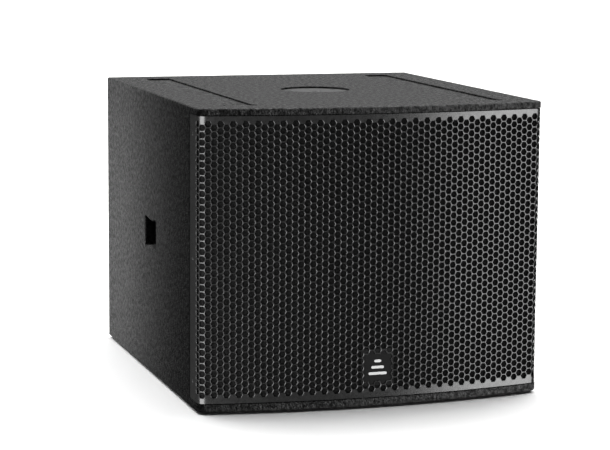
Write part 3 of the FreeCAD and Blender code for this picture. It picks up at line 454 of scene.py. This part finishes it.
def make_materials():
    """Every material, by the record's slot name."""
    return {
        "textured_coating": textured_coating(),
        "raw_ply": plywood("raw_ply", "Y"),
        "grille_steel": powder_coat("grille_steel", 0.006, 0.28, shine=0.45),
        "black_steel": powder_coat("black_steel", 0.02, 0.42),
        "foam": open_foam("foam", 0.006, 1.6 * MM),
        "damping_foam": open_foam("damping_foam", 0.05, 2.4 * MM),
        "screw_black": bare_metal("screw_black", 0.06, 0.38),
        "zinc": bare_metal("zinc", 0.62, 0.32, (1.0, 0.98, 0.92)),
        "badge_black": moulded_plastic("badge_black", 0.003, 0.5, shine=0.08),
        "badge_mark": badge_mark(),
        "skid_plastic": moulded_plastic("skid_plastic", 0.02, 0.5),
        "cup_plastic": moulded_plastic("cup_plastic", 0.012, 0.55),
        "socket_plastic": moulded_plastic("socket_plastic", 0.018, 0.35),
        "board": circuit_board(),
        "cast_aluminium": powder_coat("cast_aluminium", 0.03, 0.5, 0.8 * MM, 0.1 * MM),
        "gasket_foam": open_foam("gasket_foam", 0.04, 0.8 * MM),
        "surround_cloth": woven_cloth("surround_cloth", 0.02, 0.9 * MM, rough=0.5),
        "cone_paper": cone_paper(),
        "former_kapton": moulded_plastic("former_kapton", 0.32, 0.3, (1.0, 0.50, 0.12)),
        "copper": wound_copper(),
        "spider_cloth": woven_cloth("spider_cloth", 0.45, 0.8 * MM, (1.0, 0.72, 0.36)),
        "plate_steel": bare_metal("plate_steel", 0.45, 0.35, (1.0, 0.95, 0.85)),
        "ferrite": moulded_plastic("ferrite", 0.05, 0.55),
        "terminal_plastic": moulded_plastic("terminal_plastic", 0.03, 0.4),
        "lead_sheath": moulded_plastic("lead_sheath", 0.02, 0.5),
    }


def dress_nodes(materials):
    """Gives each CAD node the material of its own slot."""
    for made in NODES.values():
        for slot in made.material_slots:
            slot.material = materials[slot.material.name.split(".")[0]]
    for node in ("left_port_divider", "right_port_divider"):
        NODES[node].material_slots[0].material = plywood("raw_ply_" + node, "X")
    NODES["baffle"].material_slots[0].material = plywood("painted_ply", "Y", painted=True)


# ---- the grille ----------------------------------------------------------------------------
def on_sheet(along, up, depth):
    """Folds a point of the flat sheet round the bow, the corner and the side strip."""
    side = -1 if along < 0 else 1
    reach = abs(along)
    if reach <= BOW_LENGTH:
        angle = reach / SHEET_RADIUS
        x, y = (SHEET_RADIUS - depth) * sin(angle), BOW_CENTRE - (SHEET_RADIUS - depth) * cos(angle)
    elif reach <= BOW_LENGTH + FOLD_LENGTH:
        angle = FOLD_START + (reach - BOW_LENGTH) / FOLD_RADIUS
        x, y = FOLD_X + (FOLD_RADIUS - depth) * sin(angle), FOLD_Y - (FOLD_RADIUS - depth) * cos(angle)
    else:
        x, y = HALF_SHEET - depth, FOLD_Y + reach - BOW_LENGTH - FOLD_LENGTH
    return Vector((side * x, y, up))


class FlatSheet:
    """The perforated sheet before it is folded: (along, up) in the flat, depth below its face."""

    def __init__(self):
        self.bm = bmesh.new()
        self.corners = {}

    def at(self, point, depth):
        """The vertex at a point and depth, made once."""
        key = (round(point[0] * 1e6), round(point[1] * 1e6), round(depth * 1e6))
        if key not in self.corners:
            self.corners[key] = self.bm.verts.new((point[0], depth, point[1]))
        return self.corners[key]

    def face(self, points):
        """A face through (point, depth) corners."""
        self.bm.faces.new([self.at(*p) for p in points])

    def both(self, points):
        """The same flat face on the sheet's front and back."""
        for depth in (0.0, SHEET):
            self.face([(p, depth) for p in points])

    def edge(self, a, b):
        """The cut edge of the sheet between two points."""
        self.face([(a, 0.0), (b, 0.0), (b, SHEET), (a, SHEET)])


def hole_centre(column, row):
    """Centre of a hole; odd columns stand half a pitch lower."""
    return (column * COLUMN_STEP, TOP_HOLE - row * PITCH - (column % 2) * PITCH / 2)


def hexagon(centre, radius):
    """Six corners round a centre, two of them level with it."""
    reach = radius * HEX_REACH / HEX_RADIUS
    return [(centre[0] + reach * cos(a), centre[1] + radius * sin(a)) for a in HEX_TURNS]


def towards(a, b, length):
    """The point this far from a on the way to b."""
    share = length / sqrt((b[0] - a[0]) ** 2 + (b[1] - a[1]) ** 2)
    return (a[0] + (b[0] - a[0]) * share, a[1] + (b[1] - a[1]) * share)


def cut_corners(points, cut):
    """The outline with each corner cut off: pairs of points, one pair for each corner."""
    count = len(points)
    return [
        (towards(points[i], points[i - 1], cut), towards(points[i], points[(i + 1) % count], cut))
        for i in range(count)
    ]


def perforated_cell(sheet, centre):
    """One hexagonal cell of the sheet with its hole, whose front rim is rounded."""
    cell = hexagon(centre, HEX_RADIUS)
    open_radius = HEX_RADIUS * OPEN_SHARE
    rim = cut_corners(hexagon(centre, open_radius + RIM_ROUND * 2 / sqrt(3)), CORNER_CUT)
    wall = cut_corners(hexagon(centre, open_radius), CORNER_CUT)
    back = hexagon(centre, open_radius)
    for i in range(6):
        j = (i + 1) % 6
        sheet.face([(cell[i], 0.0), (cell[j], 0.0), (rim[j][0], 0.0), (rim[i][1], 0.0)])
        sheet.face([(cell[i], 0.0), (rim[i][1], 0.0), (rim[i][0], 0.0)])
        sheet.face([(rim[i][1], 0.0), (rim[j][0], 0.0), (wall[j][0], RIM_ROUND), (wall[i][1], RIM_ROUND)])
        sheet.face([(rim[i][0], 0.0), (rim[i][1], 0.0), (wall[i][1], RIM_ROUND), (wall[i][0], RIM_ROUND)])
        sheet.face([(wall[i][1], RIM_ROUND), (wall[j][0], RIM_ROUND), (back[j], SHEET), (back[i], SHEET)])
        sheet.face([(wall[i][0], RIM_ROUND), (wall[i][1], RIM_ROUND), (back[i], SHEET)])
        sheet.face([(cell[i], SHEET), (cell[j], SHEET), (back[j], SHEET), (back[i], SHEET)])


def key_of(point):
    """A point rounded so that equal corners compare equal."""
    return (round(point[0] * 1e6), round(point[1] * 1e6))


def badge_window(sheet, removed):
    """The web left round the holes that the badge takes the place of."""
    gone = {key_of(centre) for centre in removed}
    owners = {}
    for centre in removed:
        for corner in hexagon(centre, HEX_RADIUS):
            owners.setdefault(key_of(corner), []).append(centre)

    def inset(corner):
        """The corner moved in to the edge of the web."""
        around = owners[key_of(corner)]  # one removed cell, or the two that share the corner
        middle = ((around[0][0] + around[-1][0]) / 2, (around[0][1] + around[-1][1]) / 2)
        return towards(corner, middle, HEX_RADIUS * (1 - OPEN_SHARE))

    for centre in removed:
        cell = hexagon(centre, HEX_RADIUS)
        for i in range(6):
            a, b = cell[i], cell[(i + 1) % 6]
            beyond = (a[0] + b[0] - centre[0], a[1] + b[1] - centre[1])
            if key_of(beyond) in gone:
                continue
            sheet.both([a, b, inset(b), inset(a)])
            sheet.edge(inset(a), inset(b))


def plain_borders(sheet, low, high):
    """The unperforated margins: above, below and round the folds to the ends of the side strips."""
    upper, lower = [], []
    half = HEX_REACH / 2
    for column in range(-LAST_COLUMN, LAST_COLUMN + 1):
        along, top = hole_centre(column, 0)
        bottom = hole_centre(column, HOLES_PER_COLUMN - 1)[1]
        for step in (-half, half):
            upper.append((along + step, top + PITCH / 2))
            lower.append((along + step, bottom - PITCH / 2))
    for line, level in ((upper, high), (lower, low)):
        for a, b in zip(line, line[1:]):
            far_a, far_b = (a[0], level), (b[0], level)
            sheet.both([a, b, far_b, far_a])
            sheet.edge(far_a, far_b)
    for side in (-1, 1):
        along, top = hole_centre(side * LAST_COLUMN, 0)
        line = []
        for i in range(2 * HOLES_PER_COLUMN + 1):
            reach = half if i % 2 == 0 else HEX_REACH
            line.append((along + side * reach, top + PITCH / 2 - i * PITCH / 2))
        line = [(line[0][0], high)] + line + [(line[0][0], low)]
        for a, b in zip(line, line[1:]):
            far_a, far_b = (side * SHEET_LENGTH, a[1]), (side * SHEET_LENGTH, b[1])
            sheet.both([a, b, far_b, far_a])
            sheet.edge(far_a, far_b)
        for level in (low, high):
            sheet.edge((line[0][0], level), (side * SHEET_LENGTH, level))


def fold(bm):
    """Cuts the flat sheet across its folds and wraps it round the cabinet's front."""
    for i in range(FOLD_CUTS + 1):
        for side in (-1, 1):
            place = side * (BOW_LENGTH + FOLD_LENGTH * i / FOLD_CUTS)
            geometry = bm.verts[:] + bm.edges[:] + bm.faces[:]
            bmesh.ops.bisect_plane(bm, geom=geometry, plane_co=(place, 0, 0), plane_no=(1, 0, 0), dist=1e-7)
    for vert in bm.verts:
        vert.co = on_sheet(vert.co.x, vert.co.z, vert.co.y)


def front_grille(material):
    """The perforated steel grille, with a window for the badge."""
    sheet = FlatSheet()
    removed = []
    for column in range(-LAST_COLUMN, LAST_COLUMN + 1):
        for row in range(HOLES_PER_COLUMN):
            in_window = WINDOW_FIRST_ROW - column % 2 <= row <= WINDOW_LAST_ROW
            centre = hole_centre(column, row)
            if abs(column) <= WINDOW_COLUMNS and in_window:
                removed.append(centre)
            else:
                perforated_cell(sheet, centre)
    badge_window(sheet, removed)
    plain_borders(sheet, OUTSIDE[0].z, OUTSIDE[1].z)
    fold(sheet.bm)
    made = piece(sheet.bm, "perforated_grille", material, sharp=35)
    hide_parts("front_grille")
    return made


# ---- screws --------------------------------------------------------------------------------
def screw_rings(head, height, shank, length):
    """A screw from its tip to the floor of the six-lobed socket in its rounded head."""
    return (
        (shank * 0.35, -length, 0.0),
        (shank, -length + shank, 0.0),
        (shank, 0.0, 0.0),
        (head, 0.0, 0.0),
        (head, height * 0.35, 0.0),
        (head * 0.95, height * 0.68, 0.0),
        (head * 0.82, height * 0.92, 0.0),
        (head * 0.66, height, 0.0),
        (head * 0.50, height, 0.12),
        (head * 0.45, height * 0.85, 0.14),
        (head * 0.44, height * 0.35, 0.14),
    )


def screws(node, outward, height, shank, material):
    """Detailed screws in place of a CAD node's; those along X stand on both sides and face away."""
    bm = bmesh.new()
    for low, high in solids_of(node):
        middle = (low + high) / 2
        direction = Vector(outward)
        if direction.x and middle.x < 0:
            direction = -direction
        half = (high - low) / 2
        along = abs(half.dot(direction))
        head = max(half[axis] for axis in range(3) if not direction[axis])
        place = Matrix.Translation(middle + direction * (along - height)) @ facing(direction)
        add_turned(bm, screw_rings(head, height, shank, 2 * along - height), 36, place)
    made = piece(bm, "detailed_" + node, material)
    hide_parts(node)


def all_screws(materials):
    """Every visible set of screws."""
    black, zinc = materials["screw_black"], materials["zinc"]
    screws("grille_screws", (1, 0, 0), 0.7 * MM, 1.6 * MM, black)
    screws("flange_screws", (0, 0, 1), 1.8 * MM, 1.7 * MM, black)
    screws("dish_screws", (0, 1, 0), 1.6 * MM, 1.4 * MM, black)
    screws("socket_screws", (0, 1, 0), 1.4 * MM, 1.2 * MM, black)
    screws("skid_screws", (0, 0, -1), 1.4 * MM, 2.0 * MM, zinc)
    screws("driver_bolts", (0, -1, 0), 4.0 * MM, 3.0 * MM, zinc)


# ---- pole thread ---------------------------------------------------------------------------
def pole_thread(material):
    """The helical thread inside the pole plate's boss."""
    segments = 48
    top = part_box("pole_flange")[1].z - 6 * MM
    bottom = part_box("pole_flange")[0].z + 0.5 * MM
    steps = int((top - bottom) / (THREAD_PITCH / 6))
    bm = bmesh.new()
    loops = []
    for step in range(steps + 1):
        height = bottom + (top - bottom) * step / steps
        loop = []
        for i in range(segments):
            angle = 2 * pi * i / segments
            share = (height / THREAD_PITCH - i / segments) % 1.0
            reach = THREAD_RADIUS - THREAD_DEPTH * (1 - abs(2 * share - 1))
            loop.append(bm.verts.new((reach * cos(angle), reach * sin(angle), height)))
        loops.append(loop)
    join_loops(bm, loops)
    piece(bm, "pole_thread", material, sharp=50)


# ---- suspension ----------------------------------------------------------------------------
def driver_place(y):
    """Turns +Z of a turned form towards the front, on the driver's axis."""
    return Matrix.Translation(Vector((0, y, DRIVER_Z))) @ facing((0, -1, 0))


def blend_outwards(made, inner, outer):
    """The inner edge moves with the cone and the outer edge stays, easing with the radius."""
    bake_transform(made, MOVING, HOME, (inner, 0, 0), (outer, 0, 0))
    weights = made.data.attributes["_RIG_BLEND"].data
    for vert, weight in zip(made.data.vertices, weights):
        radius = sqrt(vert.co.x**2 + (vert.co.z - DRIVER_Z) ** 2)
        share = min(1.0, max(0.0, (radius - inner) / (outer - inner)))
        weight.value = share * share * (3 - 2 * share)


def suspension(name, node, material, outline, span):
    """A ring that stretches between the cone and the basket, from (radius, height) points."""
    bm = bmesh.new()
    rings = [(radius, height, 0.0) for radius, height in outline]
    add_turned(bm, rings + rings[:1], 128, driver_place(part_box(node)[1].y), closed=False)
    bmesh.ops.remove_doubles(bm, verts=bm.verts, dist=0.001 * MM)
    made = piece(bm, name, material, body=None, sharp=40)
    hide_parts(node)
    blend_outwards(made, *span)


def surround(material):
    """The half-roll that joins the cone's edge to the basket."""
    low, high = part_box("surround")
    outer_lip = (high.x - low.x) / 2
    inner_lip, rise, wall = outer_lip - SURROUND_WIDTH, high.y - low.y, SURROUND_WALL
    inner, outer = inner_lip + SURROUND_LIP, outer_lip - SURROUND_LIP
    middle, half = (inner + outer) / 2, (outer - inner) / 2
    steps = 20
    arc = [(cos(pi - pi * i / steps), sin(pi * i / steps)) for i in range(steps + 1)]
    front = [(middle + half * c, wall + (rise - wall) * s) for c, s in arc]
    rear = [(middle + (half - wall) * c, 0.2 * wall + (rise - 1.2 * wall) * s) for c, s in reversed(arc)]
    outline = [(inner_lip, wall)] + front + [(outer_lip, wall), (outer_lip, 0.0), (outer - wall, 0.0)]
    outline += rear + [(inner + wall, 0.0), (inner_lip, 0.0)]
    suspension("cloth_surround", "surround", material, outline, (inner, outer))


def spider(material):
    """The corrugated spider that centres the voice coil."""
    low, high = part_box("spider")
    outer = (high.x - low.x) / 2
    inner, depth = outer - SPIDER_WIDTH, high.y - low.y
    steps = 90
    swing = (depth - SPIDER_WALL) / 2
    front = []
    for i in range(steps + 1):
        share = i / steps
        wave = sin(2 * pi * SPIDER_WAVES * share) * swing if 0.04 < share < 0.96 else 0.0
        front.append((inner + (outer - inner) * share, swing + SPIDER_WALL + wave))
    rear = [(radius, height - SPIDER_WALL) for radius, height in reversed(front)]
    span = (inner + 4 * MM, outer - 6 * MM)
    suspension("cloth_spider", "spider", material, front + rear, span)


# ---- the stage -----------------------------------------------------------------------------
def camera():
    """The camera at the photograph's viewing angle."""
    level_right = Vector((cos(CAMERA_YAW), -sin(CAMERA_YAW), 0))
    level = cos(CAMERA_PITCH)
    ahead = Vector((sin(CAMERA_YAW) * level, cos(CAMERA_YAW) * level, sin(CAMERA_PITCH)))
    level_up = level_right.cross(ahead)
    right = level_right * cos(CAMERA_ROLL) + level_up * sin(CAMERA_ROLL)
    up = right.cross(ahead)
    turn = Matrix((right, up, -ahead)).transposed().to_4x4()
    data = bpy.data.cameras.new("camera")
    data.lens = LENS
    data.clip_end = 100
    made = bpy.data.objects.new("camera", data)
    made.matrix_world = Matrix.Translation(CAMERA_PLACE) @ turn
    bpy.context.scene.collection.objects.link(made)
    bpy.context.scene.camera = made


def softbox(name, place, aim, size, radiance, spared, spread=180):
    """A rectangular light that faces a point, unseen by the camera, flagged off some objects."""
    data = bpy.data.lights.new(name, "AREA")
    data.shape = "RECTANGLE"
    data.size, data.size_y = size
    data.energy = radiance * pi * size[0] * size[1]
    data.spread = radians(spread)
    made = bpy.data.objects.new(name, data)
    made.location = place
    made.rotation_euler = (Vector(aim) - Vector(place)).to_track_quat("-Z", "Y").to_euler()
    made.visible_camera = False
    bpy.context.scene.collection.objects.link(made)
    flagged = bpy.data.collections.new(name + "_flag")
    for i, other in enumerate(spared):
        flagged.objects.link(other)
        flagged.collection_objects[i].light_linking.link_state = "EXCLUDE"
    made.light_linking.receiver_collection = flagged


def world():
    """A dim studio with a broad overhead light that hangs behind the cabinet."""
    made = bpy.data.worlds.new("studio")
    made.use_nodes = True
    tree = made.node_tree
    parts = tree.nodes.new("ShaderNodeSeparateXYZ")
    tree.links.new(tree.nodes.new("ShaderNodeTexCoord").outputs["Generated"], parts.inputs[0])
    background = tree.nodes["Background"]
    background.inputs["Color"].default_value = (1, 1, 1, 1)
    strength = tree.nodes.new("ShaderNodeMapRange")
    strength.inputs["To Min"].default_value = WORLD_DIM
    strength.inputs["To Max"].default_value = WORLD_LIT
    tree.links.new(strength.outputs["Result"], background.inputs["Strength"])
    product = None
    for axis, (start, full, least) in OVERHEAD_REACH.items():
        level = tree.nodes.new("ShaderNodeMapRange")
        level.interpolation_type = "SMOOTHSTEP"
        for name, value in (("From Min", start), ("From Max", full), ("To Min", least)):
            level.inputs[name].default_value = value
        tree.links.new(parts.outputs[axis], level.inputs["Value"])
        times = tree.nodes.new("ShaderNodeMath")
        times.operation = "MULTIPLY"
        times.inputs[0].default_value = 1.0
        if product:
            tree.links.new(product, times.inputs[0])
        tree.links.new(level.outputs["Result"], times.inputs[1])
        product = times.outputs[0]
    tree.links.new(product, strength.inputs["Value"])
    bpy.context.scene.world = made


def stage_piece(bm, name, material):
    """A part of the studio that the camera sees, but that casts no shadow or light on the cabinet."""
    mesh = bpy.data.meshes.new(name)
    bm.to_mesh(mesh)
    bm.free()
    mesh.materials.append(material)
    made = bpy.data.objects.new(name, mesh)
    made.visible_glossy = False
    made.visible_diffuse = False
    made.visible_shadow = False
    bpy.context.scene.collection.objects.link(made)
    return made


def studio_floor():
    """A pale floor, far larger than the view."""
    bm = bmesh.new()
    bmesh.ops.create_grid(bm, x_segments=8, y_segments=8, size=FLOOR_HALF)
    look = Look("studio_floor", specular_ior_level=0.1, roughness=0.9)
    pale = look.finish(Base_Color=look.greys(look.noise(0.8), 0.90, 0.92))
    return stage_piece(bm, "studio_floor", pale)


def backdrop():
    """A plain white wall far round the floor."""
    bm = bmesh.new()
    radius = BACKDROP_RADIUS
    bmesh.ops.create_cone(bm, segments=64, radius1=radius, radius2=radius, depth=BACKDROP_HEIGHT)
    look = Look("backdrop", emission_strength=1.0, roughness=1.0)
    white = look.finish(Emission_Color=look.greys(look.noise(0.8), 0.99, 1.0))
    stage_piece(bm, "backdrop", white)


def studio(grille):
    """Floor, soft lights and the camera."""
    bpy.context.scene.view_settings.view_transform = "Standard"
    camera()
    world()
    floor = studio_floor()
    backdrop()
    spared = [floor] + [NODES[node] for node in ("left_side_panel", "top_panel", "bottom_panel")]
    softbox("right_light", (1.40, -1.5, 0.05), (0.1, -0.35, 0.2), (1.1, 1.3), RIGHT_RADIANCE, [floor])
    softbox("left_light", (-1.12, -0.90, 0.05), (-0.3, -0.33, 0.2), (1.15, 1.6), LEFT_RADIANCE, spared)
    rear_aim = (-0.3, 0.35, 0.25)
    softbox("rear_light", (-0.75, 0.4, 0.2), rear_aim, (0.4, 0.7), REAR_RADIANCE, [floor, grille], spread=85)


# ---- the whole -----------------------------------------------------------------------------
def main():
    """Builds every piece, then the stage."""
    materials = make_materials()
    dress_nodes(materials)
    grille = front_grille(materials["grille_steel"])
    all_screws(materials)
    pole_thread(materials["black_steel"])
    surround(materials["surround_cloth"])
    spider(materials["spider_cloth"])
    studio(grille)


main()
